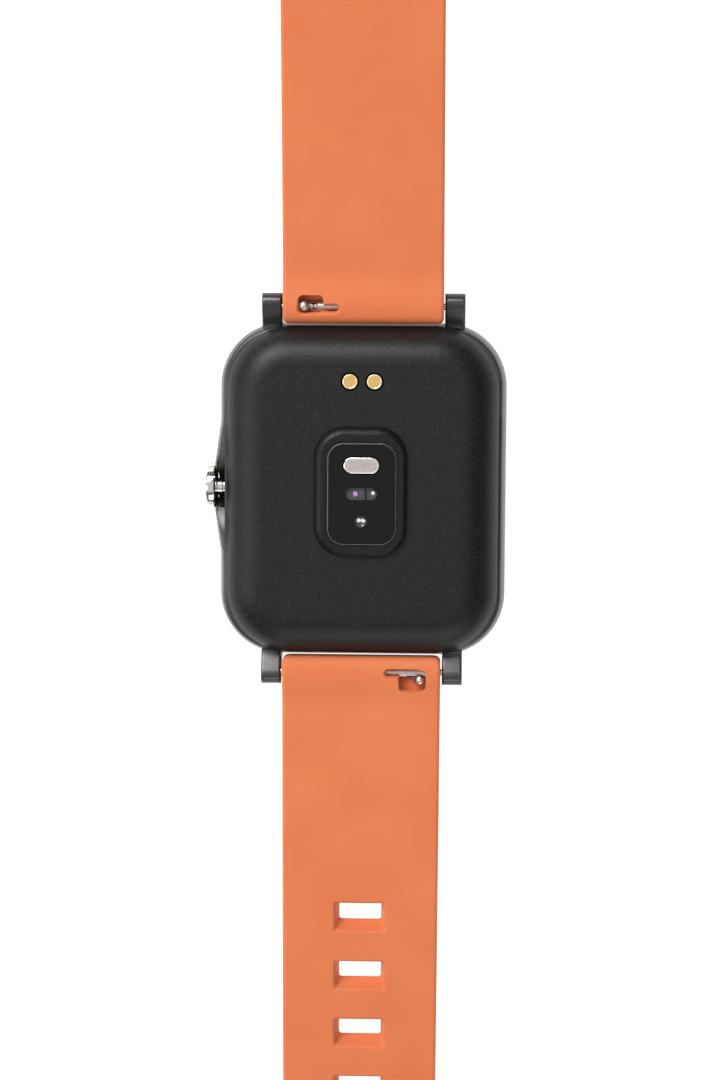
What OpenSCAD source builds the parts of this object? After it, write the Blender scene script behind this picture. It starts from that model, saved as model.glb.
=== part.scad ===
// A square running watch that lies face down on its front glass, back towards +Z.
// +Y points along the buckle strap (12 o'clock), the crown is on the -X side, and the origin is the
// centre of the front glass face. Sizes are in millimetres.

/* [Case] */
// Width of the aluminium band, side to side
case_w = 35.6; // [35.4:0.1:36]
// Length of the aluminium band, between the strap ends
case_l = 41.4; // [41.2:0.1:41.6]
// Corner radius of the band, seen from the back
case_corner = 7.8; // [7.7:0.1:8.2]
// Height of the band's rear edge above the glass face
band_top = 6.9; // [6.8:0.05:7]
// Height of the rear cover's flat above the glass face
cover_top = 10.3; // [10.2:0.1:10.6]
// Radius of the fillet round the rear cover
cover_fillet = 5; // [4:0.25:5.5]

/* [Lugs] */
// Clear gap between the two lugs of a pair, for a 20 mm strap
lug_gap = 20.1; // [20:0.1:20.3]
// Width of one lug
lug_w = 2.5; // [2.2:0.1:2.8]
// Radius of a lug's tip
lug_tip_r = 1.25; // [1.15:0.05:1.3]
// Distance from the end of the band to the spring bar's axis
bar_reach = 2; // [1.9:0.05:2.2]
// Height of the spring bar's axis above the glass face
bar_z = 6.4; // [6.2:0.1:6.5]

/* [Crown] */
// Place of the crown along the side of the case
crown_y = 0.2; // [-0.5:0.1:0.5]
// Height of the crown's axis above the glass face
crown_z = 4.2; // [4:0.1:4.4]
// Radius of the crown's cap
crown_r = 2.67; // [2.4:0.05:2.7]
// Thickness of the crown's cap
crown_t = 1.25; // [1.1:0.05:1.4]
// How far the crown can be pressed in
crown_travel = 0.4; // [0.2:0.05:0.5]

/* [Sensor] */
// Width of the sensor bezel at its foot
bezel_w = 11.4; // [11:0.1:11.8]
// Length of the sensor bezel at its foot
bezel_l = 15.8; // [15.4:0.1:16.2]
// Height of the bezel above the rear cover
bezel_h = 0.9; // [0.7:0.05:1]
// Width of the sensor window
window_w = 8.5; // [8.3:0.1:8.6]
// Length of the sensor window
window_l = 12.7; // [12.5:0.1:12.8]

/* [Charging contacts] */
// Distance between the two charging contacts
contact_pitch = 3; // [2.9:0.05:3.2]
// Place of the charging contacts, above the sensor
contact_y = 13.5; // [13:0.1:14]
// Radius of a charging contact
contact_r = 0.95; // [0.8:0.05:1]

/* [Strap] */
// Thickness of both strap halves
strap_t = 2.4; // [2.2:0.1:2.5]
// Width of the buckle half at the lugs
upper_w = 19.8; // [19.6:0.1:19.9]
// Width of the buckle half at the buckle
upper_end_w = 19.3; // [19:0.1:19.5]
// Width of the long half at the lugs
lower_w = 19.7; // [19.5:0.1:19.9]
// Width of the long half where its taper ends
lower_end_w = 19.3; // [19:0.1:19.5]
// Distance from one strap hole to the next
hole_pitch = 7.6; // [7.4:0.1:7.7]
// Distance from the spring bar to the first strap hole, along the strap
hole_first = 31.4; // [31:0.1:31.8]
// Width of a strap hole, across the strap
hole_w = 5.2; // [4.8:0.1:5.4]
// Length of a strap hole, along the strap
hole_l = 3; // [2.6:0.1:3.2]
// Distance from the spring bar to the tip of the long half
lower_len = 122; // [121:0.5:123]

/* [Buckle] */
// Distance from the spring bar to the buckle pin, along the strap
buckle_pin_s = 76; // [76:0.5:77]
// Clear width inside the buckle frame
buckle_inner_w = 19.9; // [19.8:0.1:20.2]
// Distance from the buckle pin to the middle of the crossbar
buckle_reach = 10.4; // [10:0.1:11]
// Width of the tongue
tongue_w = 3.2; // [2.8:0.1:3.4]

/* [Hidden] */
$fn = 48;

wall = 2; // thickness of the band's wall at its widest
joint_gap = 0.1; // gap between two neighbouring strap lengths

// Case, from the glass face upwards
glass_t = 1.1;
glass_inset = 0.9; // of the glass edge from the band's outline
ledge_z = 1.4; // ledge that the glass gasket sits on
band_bottom = 0.7;
bulge_z = 3.7; // where the band is widest
bulge_r = 7.6; // curve of the band's side
pocket_w = case_w - 2 * wall;
pocket_l = case_l - 2 * wall;
pocket_r = case_corner - wall;
cover_z = band_top + 0.25; // underside of the rear cover's flange
cover_w = case_w - 2;
cover_l = case_l - 1.1;
cavity_z = 9; // ceiling inside the rear cover
board_z = 6.55;
board_t = 0.7;
glass_w = case_w - 2 * glass_inset;
glass_l = case_l - 2 * glass_inset;
glass_r = case_corner - glass_inset;
display_top = 2.25; // rear face of the display

// Inside the case
chassis_z = 3.1; // top of the chassis plate
chassis_l = pocket_l - 2.6;
battery_w = 21;
battery_l = 16;
battery_at = [1.5, -6];
post_x = 13.4;
post_y = 13.2;
screw_r = 0.5;
motor_at = [-6.5, 9.6];
motor_r = 4;
motor_h = 2.7;

// Sensor, at the middle of the back
window_z = 10.4; // ledge under the window
window_top = cover_top + bezel_h + 0.05;
window_hole_w = 9.6;
window_hole_l = 13.8;
sensor_board_z = 8.7;
electrode_y = 3.3;
optics_y = -0.2;
round_y = -3.6;

// Lugs and spring bars
lug_x = lug_gap / 2; // inner face of a lug
bar_y = case_l / 2 + bar_reach;
bar_hole_r = 0.45;
bar_hole_depth = 1.2;
tube_r = 0.75;
tube_bore_r = 0.6;
tube_half = 9; // half the length of the bar's tube
tip_r = 0.4;
tip_end = lug_x + 0.85;
release_travel = 1.1;
knob_x = -7.3; // release knob, from the middle of the strap
knob_r = 0.66;
knob_dome_r = 0.74; // of the knob's domed top
spring_stop_x = -2.4; // solid end of the tube's bore
lower_lean = -58; // turn of the lower bar that leans its knob away from the case
hub_r = 2.1; // rounded strap end round the spring bar
upper_pocket = [1.75, 0]; // far side and floor of the pocket round the release knob
lower_pocket = [2.15, -0.3];
pocket_near = -0.85;

// Crown, along X
recess_r = crown_r + 0.18;
recess_x = -17.1; // floor of the recess
cap_x = -18.3; // inner face of the cap
stem_r = 1;
stem_end = -12.6;
tube_out_r = 1.9;
tube_end = -14.4;
clip_t = 0.35;
clip_x = tube_end + 0.04; // outer face of the clip
washer_x = clip_x + clip_t;
washer_t = 0.4;
bracket_x = -11.8; // outer face of the bracket inside the crown
plunger_end = bracket_x + 0.7;
guard_r = 43; // sweep of the side, seen from the back
guard_x = -18.58; // furthest reach of the crown's guards
guard_half = 8.4;

// Strap lengths, as [length, turn in degrees], from the spring bar outwards. The first has no
// length and only sets the slope at which the half leaves the bar.
flex_len = 3 * hole_pitch;
lower_lead = hole_first - hole_pitch / 2;
upper_runs = [[0, 12], [22, 2], [22, 1.5], [buckle_pin_s - 44, 0]];
lower_runs = [
  [0, -1], [lower_lead, -2], [flex_len, -1], [flex_len, 0.5], [flex_len, 2.5],
  [lower_len - lower_lead - 3 * flex_len, 1]
];
taper_len = 80; // the long half is parallel beyond this
edge = 0.5; // chamfer along the strap's edges
buckle_hub_r = 1.7;
buckle_pin_r = 0.55;
buckle_slot_w = tongue_w + 1;
arm_t = 1.6;
arm_h = 2;
keeper_wall = 1.1;
keeper_l = 5;
fixed_keeper_y = 26; // along the straight length
free_keeper_y = 16;

// Running totals along a strap half: distance, heading and place where length i starts
function start_s(runs, i) = i == 0 ? 0 : start_s(runs, i - 1) + runs[i - 1][0];
function start_a(runs, i) = i == 0 ? 0 : start_a(runs, i - 1) + runs[i - 1][1];
function chord(run) = run[1] == 0 ? [run[0], 0]
  : let (r = run[0] / (run[1] * PI / 180)) [r * sin(run[1]), r * (1 - cos(run[1]))];
function turned(v, a) = [v[0] * cos(a) - v[1] * sin(a), v[0] * sin(a) + v[1] * cos(a)];
function start_p(runs, i) = i == 0 ? [0, 0]
  : start_p(runs, i - 1) + turned(chord(runs[i - 1]), start_a(runs, i - 1));
function upper_width(s) = upper_w + (upper_end_w - upper_w) * s / buckle_pin_s;
function lower_width(s) = lower_w + (lower_end_w - lower_w) * min(s, taper_len) / taper_len;

// Shapes that are used again and again

// Flat rounded rectangle, centred
module round_rect(w, l, r) {
  square([w - 2 * r, l], center = true);
  square([w, l - 2 * r], center = true);
  for (x = [-1, 1], y = [-1, 1]) translate([x * (w / 2 - r), y * (l / 2 - r)]) circle(r);
}

// Rounded rectangular plate between two heights
module plate(w, l, r, z0, z1) {
  translate([0, 0, z0]) linear_extrude(z1 - z0) round_rect(w, l, r);
}

// Profile (x outwards from the corner's centre, y upwards) swept round a rounded rectangle
module swept(w, l, r, z0, z1) {
  cx = w / 2 - r;
  cy = l / 2 - r;
  translate([-cx, -cy, z0]) cube([2 * cx, 2 * cy, z1 - z0]);
  for (q = [0:3]) {
    sx = q == 0 || q == 3 ? 1 : -1;
    sy = q < 2 ? 1 : -1;
    translate([sx * cx, sy * cy, 0]) rotate([0, 0, 90 * q]) rotate_extrude(angle = 90) children();
  }
  for (s = [0, 180]) rotate([0, 0, s]) {
    translate([cx, 0, 0]) rotate([90, 0, 0]) linear_extrude(2 * cy, center = true) children();
    rotate([0, 0, 90]) translate([cy, 0, 0]) rotate([90, 0, 0])
      linear_extrude(2 * cx, center = true) children();
  }
}

// Side of the band: a shallow bulge that leans in towards both edges
module bulge_profile(r) {
  intersection() {
    translate([0, band_bottom]) square([r, band_top - band_bottom]);
    translate([r - bulge_r, bulge_z]) circle(bulge_r, $fn = 120);
  }
}

// Slab with a rounded upper edge
module filleted_profile(r, z0, z1, f) {
  translate([0, z0]) square([r - f, z1 - z0]);
  translate([0, z0]) square([r, z1 - z0 - f]);
  intersection() {
    translate([r - f, z1 - f]) circle(f);
    translate([0, z0]) square([r, z1 - z0]);
  }
}

// Slab whose upper edge is one wide arc that meets the outline at its foot
module domed_profile(r, z0, z1, f) {
  middle = r - sqrt(f * f - pow(f - (z1 - z0), 2));
  translate([0, z0]) square([middle, z1 - z0]);
  intersection() {
    translate([middle, z1 - f]) circle(f);
    translate([0, z0]) square([r, z1 - z0]);
  }
}

// Bar along X
module x_bar(r, x0, x1) {
  translate([x0, 0, 0]) rotate([0, 90, 0]) cylinder(r = r, h = x1 - x0);
}

// Coil spring along X, from x = 0
module coil(r, wire, length, turns, steps, sides) {
  n = turns * steps;
  points = [for (i = [0:n], j = [0:sides - 1])
    let (a = 360 * i / steps, b = 360 * j / sides, d = r + wire * cos(b))
    [length * i / n + wire * sin(b), d * cos(a), d * sin(a)]];
  sides_faces = [for (i = [0:n - 1], j = [0:sides - 1], h = [0, 1])
    let (k = (j + 1) % sides, a = i * sides + j, b = i * sides + k, c = a + sides, d = b + sides)
    h == 0 ? [a, b, d] : [a, d, c]];
  ends = [for (j = [1:sides - 2], h = [0, 1])
    h == 0 ? [0, j + 1, j] : [n * sides, n * sides + j, n * sides + j + 1]];
  polyhedron(points, concat(sides_faces, ends));
}

// Places a strap half: its frame has the spring bar on its X axis and runs along +Y
module upper_side() { translate([0, bar_y, bar_z]) children(); }
module lower_side() { translate([0, -bar_y, bar_z]) rotate([0, 0, 180]) children(); }

// Frame at the start of one strap length
module at_run(runs, i) {
  p = start_p(runs, i);
  translate([0, p[0], p[1]]) rotate([start_a(runs, i), 0, 0]) children();
}

// Frame at a distance s along strap length i
module along(runs, i, s) {
  part = [s, runs[i][1] * s / runs[i][0]];
  p = chord(part);
  translate([0, p[0], p[1]]) rotate([part[1], 0, 0]) children();
}

// Case

// Side view of one lug, hooked towards the wrist
module lug_profile() {
  root_y = case_l / 2 - wall + 0.1;
  tip = [bar_y + 0.4, bar_z - 0.35];
  polygon([
    [root_y, 1.9], [case_l / 2 - 0.1, 2.3], [tip[0] + 0.8, tip[1] - 0.95], tip,
    [tip[0] - 0.37, tip[1] + lug_tip_r - 0.06], [case_l / 2 - 0.4, band_top - 0.4],
    [root_y, band_top - 0.4]
  ]);
  translate(tip) circle(lug_tip_r);
}

module lugs() {
  for (end = [0, 180], side = [-1, 1]) rotate([0, 0, end])
    translate([side * (lug_x + lug_w / 2), 0, 0])
      rotate([90, 0, 90]) linear_extrude(lug_w, center = true) lug_profile();
}

// The swell of the side that guards the crown
module crown_guard() {
  intersection() {
    translate([guard_x + case_corner, crown_y, 0]) mirror([1, 0, 0]) rotate([90, 0, 0])
      linear_extrude(2 * guard_half, center = true) bulge_profile(case_corner);
    translate([guard_x + guard_r, crown_y, 0]) cylinder(r = guard_r, h = band_top, $fn = 400);
  }
}

module case_frame() {
  color("dimgray") difference() {
    union() {
      swept(case_w, case_l, case_corner, band_bottom, band_top) bulge_profile(case_corner);
      crown_guard();
      lugs();
    }
    plate(pocket_w, pocket_l, pocket_r, -1, band_top + 1);
    plate(glass_w + 0.3, glass_l + 0.3, glass_r + 0.15, -1, ledge_z);
    translate([0, crown_y, crown_z]) {
      x_bar(recess_r, -30, recess_x);
      x_bar(tube_out_r, -30, -10);
    }
    for (end = [-1, 1], side = [-1, 1]) translate([side * lug_x, end * bar_y, bar_z])
      x_bar(bar_hole_r, side > 0 ? -1 : -bar_hole_depth, side > 0 ? bar_hole_depth : 1);
  }
}

// Curved-edge glass that the watch lies on
module front_glass() {
  color("black") difference() {
    plate(glass_w, glass_l, glass_r, 0, glass_t);
    swept_chamfer(glass_w, glass_l, glass_r, 0.45);
  }
}

// Cutter that bevels the lower rim of a plate standing on z = 0
module swept_chamfer(w, l, r, c) {
  difference() {
    plate(w + 2, l + 2, r + 1, -1, c);
    swept(w, l, r, -1, c) polygon([[0, -1], [r - c - 1, -1], [r - c, 0], [r, c], [0, c]]);
  }
}

module ring(w, l, r, t, z0, z1) {
  difference() {
    plate(w, l, r, z0, z1);
    plate(w - 2 * t, l - 2 * t, r - t, z0 - 1, z1 + 1);
  }
}

module glass_gasket() {
  color("black") ring(glass_w - 0.2, glass_l - 0.2, glass_r - 0.1, 0.9, glass_t, ledge_z);
}

module display_panel() {
  color("midnightblue") plate(pocket_w - 0.6, pocket_l - 0.6, pocket_r - 0.3, glass_t + 0.02, display_top);
}

// Ribbon from the display's lower edge, past the chassis, to the main board
module display_flex() {
  y = -pocket_l / 2 + 0.9;
  color("darkorange") translate([2, 0, 0]) rotate([90, 0, 90]) linear_extrude(8, center = true)
    polygon([
      [y + 3, display_top + 0.02], [y, display_top + 0.02], [y, board_z - 0.02],
      [y + 3, board_z - 0.02], [y + 3, board_z - 0.17], [y + 0.15, board_z - 0.17],
      [y + 0.15, display_top + 0.17], [y + 3, display_top + 0.17]
    ]);
}

module inner_chassis() {
  color("silver") difference() {
    union() {
      plate(pocket_w - 1, chassis_l, pocket_r - 0.5, 2.65, chassis_z);
      translate([battery_at[0], battery_at[1], 0])
        ring(battery_w + 1.2, battery_l + 1.2, 1.6, 0.5, 2.65, 4.6);
      chassis_posts() cylinder(r = 1.3, h = board_z - 0.02 - 2.65);
    }
    chassis_posts() cylinder(r = screw_r, h = board_z);
    translate([bracket_x - 5, crown_y - 3.2, 2]) cube([5.05, 6.4, 3]);
  }
}

module chassis_posts() {
  for (x = [-1, 1], y = [-1, 1]) translate([x * post_x, y * post_y, 2.65]) children();
}

module battery() {
  color("gainsboro") translate([battery_at[0], battery_at[1], 0])
    plate(battery_w, battery_l, 1.2, chassis_z + 0.05, 6.2);
}

// Two wires from the battery's upper edge to the board
module battery_lead() {
  color("firebrick") for (x = [3, 4.2])
    translate([x, battery_at[1] + battery_l / 2 + 0.05, 5.8]) {
      rotate([-90, 0, 0]) cylinder(r = 0.3, h = 1.2);
      translate([0, 1.2, 0]) cylinder(r = 0.3, h = board_z - 5.8 - 0.02);
    }
}

module main_board() {
  color("darkgreen") difference() {
    plate(pocket_w - 2, pocket_l - 2.2, pocket_r - 1, board_z, board_z + board_t);
    chassis_posts() cylinder(r = screw_r + 0.05, h = 10);
    translate([-pocket_w / 2, crown_y - 2.6, board_z - 1]) cube([3.6, 5.2, 3]);
  }
}

module chassis_screws() {
  color("silver") chassis_posts() {
    cylinder(r = screw_r - 0.02, h = board_z + board_t - 2.65);
    translate([0, 0, board_z + board_t - 2.65]) difference() {
      cylinder(r = 0.95, h = 0.5);
      translate([0, 0, 0.2]) cylinder(r = 0.4, h = 1, $fn = 6);
    }
  }
}

// Pressed steel lid with a hollow under it
module shield_can() {
  z = board_z + board_t;
  color("lightgray") difference() {
    translate([3, -10, z]) cube([9, 8, 1]);
    translate([3.2, -9.8, z - 1]) cube([8.6, 7.6, 1.8]);
  }
}

// Packages on the rear of the main board: processor, memory, radio, power and pressure sensor
module board_chips() {
  z = board_z + board_t + 0.01;
  color("black") for (c = [
    [4.2, -8.8, 4.4, 4.4, 0.6], [9.2, -8.6, 2, 3, 0.5], [-11, -9, 5, 3.4, 0.8],
    [-4.6, -13.6, 3, 2.2, 0.7], [8.5, 10, 2.6, 2, 0.8], [-11, 10.6, 3, 2.6, 0.7]
  ]) translate([c[0], c[1], z]) cube([c[2], c[3], c[4]]);
}

// Ceramic patch antenna
module gps_antenna() {
  color("tan") translate([3, 6, chassis_z + 0.05]) {
    cube([9, 9, 2.2]);
    translate([1, 1, 2.2]) cube([7, 7, 0.05]);
    translate([4.5, 4.5, 2.2]) cylinder(r = 0.4, h = board_z - chassis_z - 2.3);
  }
}

// Coin motor's can, with the fixed shaft that its weight turns on
module vibration_motor() {
  color("silver") translate([motor_at[0], motor_at[1], chassis_z + 0.05]) {
    difference() {
      cylinder(r = motor_r, h = motor_h);
      translate([0, 0, 0.3]) cylinder(r = motor_r - 0.3, h = motor_h - 0.6);
    }
    cylinder(r = 0.4, h = motor_h);
  }
}

// Eccentric weight inside the motor
module motor_rotor() {
  color("goldenrod") translate([motor_at[0], motor_at[1], chassis_z + 0.05 + 0.45]) difference() {
    union() {
      cylinder(r = 1.1, h = motor_h - 0.9);
      intersection() {
        cylinder(r = motor_r - 0.45, h = motor_h - 0.9);
        translate([-motor_r, 0, 0]) cube([2 * motor_r, motor_r, motor_h]);
      }
    }
    translate([0, 0, -1]) cylinder(r = 0.45, h = 10);
  }
}

module cover_gasket() {
  color("black") ring(cover_w - 0.2, cover_l - 0.2, case_corner - 0.1, 0.8, band_top, cover_z);
}

// Pillow-shaped back, with a spigot that enters the band
module rear_cover() {
  color([0.13, 0.13, 0.14]) difference() {
    union() {
      swept(cover_w, cover_l, case_corner, cover_z, cover_top)
        domed_profile(case_corner, cover_z, cover_top, cover_fillet);
      plate(pocket_w - 0.2, pocket_l - 0.2, pocket_r - 0.1, 6, cover_z + 0.5);
    }
    swept(pocket_w - 1.4, pocket_l - 1.4, pocket_r - 0.7, 5, cavity_z)
      filleted_profile(pocket_r - 0.7, 5, cavity_z, 2);
    plate(window_hole_w, window_hole_l, 3, 8, 12);
    contacts_at() translate([0, 0, 8]) cylinder(r = contact_r + 0.2, h = 4);
    translate([-20, crown_y - 2.2, 5]) cube([5.2, 4.4, cover_z - 5]);
  }
}

module contacts_at() {
  for (x = [-1, 1]) translate([x * contact_pitch / 2, contact_y, 0]) children();
}

// Raised frame round the sensor window
module sensor_bezel() {
  top = cover_top + bezel_h;
  color([0.09, 0.09, 0.1]) difference() {
    union() {
      swept(bezel_w, bezel_l, 3.7, cover_top, top)
        polygon([[0, cover_top], [3.7, cover_top], [3.3, top - 0.15], [3.1, top], [0, top]]);
      plate(window_hole_w - 0.2, window_hole_l - 0.2, 2.9, cavity_z, cover_top + 0.1);
    }
    plate(window_w + 0.1, window_l + 0.1, 2.05, window_z, 13);
    plate(window_w - 0.8, window_l - 0.8, 1.6, 8, 13);
  }
}

module pill(w, h, z0, z1) {
  translate([0, 0, z0]) linear_extrude(z1 - z0) {
    square([w - h, h], center = true);
    for (x = [-1, 1]) translate([x * (w - h) / 2, 0]) circle(h / 2);
  }
}

// Dark glass over the optics, cut out for the steel electrode
module sensor_window() {
  color([0.1, 0.1, 0.12]) difference() {
    plate(window_w, window_l, 2, window_z + 0.01, window_top);
    translate([0, electrode_y, 0]) pill(4.5, 2.1, 10, 12);
  }
}

module skin_electrode() {
  color("silver") translate([0, electrode_y, 0]) pill(4.4, 2, window_z - 0.1, window_top + 0.03);
}

// Black block that keeps the emitters' light away from the detectors
module sensor_baffle() {
  color("black") difference() {
    plate(window_w - 1, window_l - 1, 1.5, sensor_board_z + 0.32, window_z - 0.12);
    translate([0, optics_y, 0]) {
      translate([-0.65, 0, 0]) pill(2.6, 1.6, 8, 12);
      translate([1.5, -0.8, 8]) cube([0.9, 1.6, 4]);
    }
    translate([0, round_y, 8]) cylinder(r = 0.73, h = 4);
  }
}

module sensor_board() {
  color("darkgreen") plate(window_w - 1, window_l - 1, 1.5, sensor_board_z, sensor_board_z + 0.3);
}

module sensor_leds() {
  color("mediumpurple") {
    translate([-1.2, optics_y - 0.45, sensor_board_z + 0.31]) cube([0.9, 0.9, 0.6]);
    for (x = [-0.45, 0.05], y = [-0.45, 0.05])
      translate([x, round_y + y, sensor_board_z + 0.31]) cube([0.4, 0.4, 0.5]);
  }
}

module sensor_photodiodes() {
  color("darkslategray") translate([1.55, optics_y - 0.7, sensor_board_z + 0.31])
    cube([0.8, 1.4, 0.4]);
}

// One gold-plated charging pin, with the flange that holds it under the cover
module charge_contact(x) {
  color("khaki") translate([x, contact_y, 0]) {
    translate([0, 0, board_z + board_t + 0.02])
      cylinder(r = 0.5, h = cavity_z - board_z - board_t);
    translate([0, 0, cavity_z - 0.55]) cylinder(r = 1.35, h = 0.5);
    translate([0, 0, cavity_z - 0.1]) cylinder(r = contact_r, h = cover_top - cavity_z + 0.1);
  }
}
module charge_contact_left() { charge_contact(-contact_pitch / 2); }
module charge_contact_right() { charge_contact(contact_pitch / 2); }

// Magnets that pull the charger's cable head on
module charger_magnets() {
  color("gray") for (x = [-1, 1]) translate([x * 5.4, contact_y - 0.6, 7.75])
    cylinder(r = 1.6, h = 1.1);
}

// Crown and its switch, along X

module on_crown_axis() { translate([0, crown_y, crown_z]) children(); }

// Bush pressed into the band, with a counterbore for the O-ring
module crown_tube() {
  color("silver") on_crown_axis() difference() {
    x_bar(tube_out_r, recess_x, tube_end);
    x_bar(stem_r + 0.06, -30, 0);
    x_bar(1.55, -30, recess_x + 0.8);
  }
}

// Smooth round-edged cap on a polished stem
module crown() {
  color("silver") on_crown_axis() rotate([0, -90, 0]) {
    difference() {
      translate([0, 0, stem_end * -1]) cylinder(r = stem_r, h = stem_end - cap_x);
      translate([0, 0, -clip_x - clip_t]) ring_groove();
    }
    rotate_extrude() translate([0, -cap_x]) {
      square([crown_r - 0.45, crown_t]);
      translate([0, 0.15]) square([crown_r, crown_t - 0.6]);
      square([crown_r - 0.15, crown_t - 0.5]);
      translate([crown_r - 0.45, crown_t - 0.45]) circle(0.45);
    }
  }
}

// Groove in the stem for the clip
module ring_groove() {
  difference() {
    cylinder(r = 3, h = clip_t);
    translate([0, 0, -1]) cylinder(r = 0.78, h = clip_t + 2);
  }
}

module crown_o_ring() {
  color("black") on_crown_axis() translate([recess_x + 0.4, 0, 0]) rotate([0, 90, 0])
    rotate_extrude() translate([1.28, 0]) circle(0.22);
}

// Open clip in the stem's groove
module crown_clip() {
  color("gray") on_crown_axis() difference() {
    x_bar(1.5, clip_x + 0.02, clip_x + clip_t - 0.02);
    x_bar(0.8, -20, 0);
    translate([-20, -0.6, -3]) cube([20, 1.2, 3]);
  }
}

module crown_washer() {
  color("gold") on_crown_axis() difference() {
    x_bar(1.6, washer_x, washer_x + washer_t);
    x_bar(stem_r + 0.05, -20, 0);
  }
}

module crown_spring() {
  color("silver") on_crown_axis() translate([washer_x + washer_t + 0.15, 0, 0])
    coil(1.25, 0.12, bracket_x - washer_x - washer_t - 0.3, 3, 14, 6);
}

// Bracket on the chassis that the spring and the switch lean on
module switch_bracket() {
  color("silver") difference() {
    translate([bracket_x, crown_y - 2.4, chassis_z + 0.02]) cube([0.5, 4.8, 3]);
    on_crown_axis() x_bar(0.75, bracket_x - 1, bracket_x + 1);
  }
}

module tact_switch() {
  color("black") difference() {
    translate([bracket_x + 0.55, crown_y - 1.4, crown_z - 0.95]) cube([1.5, 2.8, 1.9]);
    on_crown_axis() x_bar(0.7, bracket_x, plunger_end + crown_travel + 0.15);
  }
}

module switch_plunger() {
  color("white") on_crown_axis() x_bar(0.6, stem_end + 0.1, plunger_end);
}

// Quick-release spring bars, along X

// Tube with a slot for the release knob and a stop for the spring
module bar_tube() {
  color("silver") difference() {
    x_bar(tube_r, -tube_half, tube_half);
    x_bar(tube_bore_r, -tube_half - 1, spring_stop_x);
    x_bar(tip_r + 0.01, tube_half - 2, tube_half + 1);
    translate([knob_x - 0.5, -0.4, 0]) cube([release_travel + 1, 0.8, 1]);
  }
}

module bar_tip() {
  color("silver") x_bar(tip_r, tube_half - 1.9, tip_end);
}

// Sliding tip, pulled in by the small knob that stands up out of the strap
module release_slider() {
  color("silver") {
    x_bar(tip_r, -tip_end, knob_x);
    x_bar(tube_bore_r - 0.04, -tube_half + 0.2, knob_x + 0.9);
    translate([knob_x, 0, 0]) {
      cylinder(r = 0.3, h = 1.4);
      translate([0, 0, tube_r + 0.2]) rotate_extrude() intersection() {
        square([knob_r, 0.85]);
        translate([0, 0.1]) circle(knob_dome_r);
      }
    }
  }
}

module release_spring() {
  color("silver") translate([knob_x + 1, 0, 0])
    coil(0.42, 0.08, spring_stop_x - knob_x - 1.1, 8, 10, 5);
}

module upper_bar_tube() { upper_side() bar_tube(); }
module upper_bar_tip() { upper_side() bar_tip(); }
module upper_release_slider() { upper_side() release_slider(); }
module upper_release_spring() { upper_side() release_spring(); }
module lower_bar_side() { lower_side() rotate([lower_lean, 0, 0]) children(); }
module lower_bar_tube() { lower_bar_side() bar_tube(); }
module lower_bar_tip() { lower_bar_side() bar_tip(); }
module lower_release_slider() { lower_bar_side() release_slider(); }
module lower_release_spring() { lower_bar_side() release_spring(); }

// Strap

// Cross-section of the strap with its long edges eased; [across, through]
module strap_section(w) {
  x = w / 2;
  y = strap_t / 2;
  polygon([
    [x - edge, -y], [x, edge - y], [x, y - edge], [x - edge, y],
    [edge - x, y], [-x, y - edge], [-x, edge - y], [edge - x, -y]
  ]);
}

// One length of strap from g0 after its start to g1 before its end, bent towards +Z
module strap_run(run, w, g0, g1) {
  if (run[1] < 0) mirror([0, 0, 1]) strap_run([run[0], -run[1]], w, g0, g1);
  else if (run[1] == 0)
    translate([0, g0, 0]) rotate([-90, 0, 0]) linear_extrude(run[0] - g0 - g1) strap_section(w);
  else {
    r = run[0] / (run[1] * PI / 180);
    translate([0, 0, r]) rotate([run[1] * g0 / run[0], 0, 0]) rotate([0, 90, 0])
      rotate_extrude(angle = run[1] * (1 - (g0 + g1) / run[0]), $fn = 180)
        translate([r, 0]) rotate([0, 0, 90]) strap_section(w);
  }
}

// The same length with its sides tapered from w0 to w1
module tapered_run(run, w0, w1, g0, g1) {
  intersection() {
    strap_run(run, max(w0, w1), g0, g1);
    linear_extrude(30, center = true)
      polygon([
        [-w0 / 2, -5], [w0 / 2, -5], [w0 / 2, 0], [w1 / 2, run[0]], [w1 / 2, run[0] + 5],
        [-w1 / 2, run[0] + 5], [-w1 / 2, run[0]], [-w0 / 2, 0]
      ]);
  }
}

// Cutter for one strap hole
module hole_cutter() {
  r = 1.2;
  linear_extrude(2 * strap_t, center = true) round_rect(hole_w, hole_l, r);
}

// First length of either half: hub round the spring bar, and the pocket for its release knob
module strap_root(runs, w0, w1, pocket) {
  difference() {
    union() {
      at_run(runs, 1) tapered_run(runs[1], w0, w1, 0, joint_gap / 2);
      x_bar(hub_r, -w0 / 2, w0 / 2);
    }
    x_bar(tube_r + 0.02, -20, 20);
    translate([knob_x - 0.95, pocket_near, pocket[1]])
      cube([release_travel + 1.9, pocket[0] - pocket_near, 4]);
    translate([knob_x - 0.95, -0.55, 0]) cube([5.2, 1.1, 4]);
  }
}

// Later length of either half
module strap_link(runs, i, w0, w1, last) {
  at_run(runs, i) tapered_run(runs[i], w0, w1, joint_gap / 2, last ? 0 : joint_gap / 2);
}

module upper_strap_1() {
  color([0.9, 0.5, 0.34]) upper_side()
    strap_root(upper_runs, upper_w, upper_width(22), upper_pocket);
}

module upper_strap_2() {
  color([0.9, 0.5, 0.34]) upper_side()
    strap_link(upper_runs, 2, upper_width(22), upper_width(44), false);
}

// Last length of the buckle half: straight, with a hub round the buckle pin
module upper_strap_3() {
  color([0.9, 0.5, 0.34]) upper_side() difference() {
    union() {
      strap_link(upper_runs, 3, upper_width(44), upper_end_w, true);
      at_pin() x_bar(buckle_hub_r, -upper_end_w / 2, upper_end_w / 2);
    }
    at_pin() {
      x_bar(buckle_pin_r + 0.02, -20, 20);
      translate([-buckle_slot_w / 2, -3.4, -5]) cube([buckle_slot_w, 10, 10]);
    }
  }
}

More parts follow.
